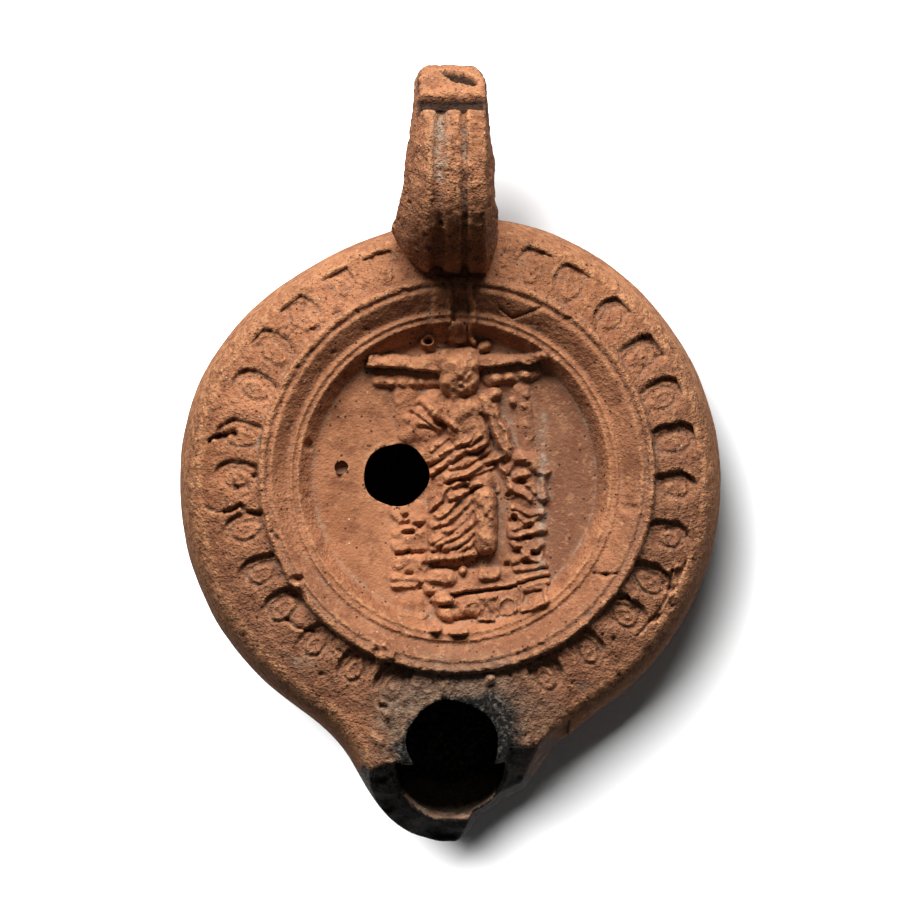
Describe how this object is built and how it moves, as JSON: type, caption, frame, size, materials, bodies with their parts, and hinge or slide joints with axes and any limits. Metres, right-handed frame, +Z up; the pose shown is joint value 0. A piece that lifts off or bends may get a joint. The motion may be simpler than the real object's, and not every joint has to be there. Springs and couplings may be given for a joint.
{
  "type": "roman oil lamp",
  "caption": "Hollow clay oil lamp with a dished relief discus, off-centre filling hole, stamped shoulder, pierced ring handle and a short round nozzle with a wick hole, broken at the front.",
  "frame": {"origin": "on the flat base, under the centre of the discus", "axes": "+Y from the nozzle towards the handle, +X to the right with the handle at the top, +Z up out of the discus"},
  "size_m": [0.0786, 0.111, 0.0424],
  "materials": {
    "terracotta": "matt fired clay, orange-brown, worn, dusty in the hollows and sooty at the wick hole and nozzle"
  },
  "bodies": {
    "root": {"lamp": "terracotta"}
  },
  "joints": []
}
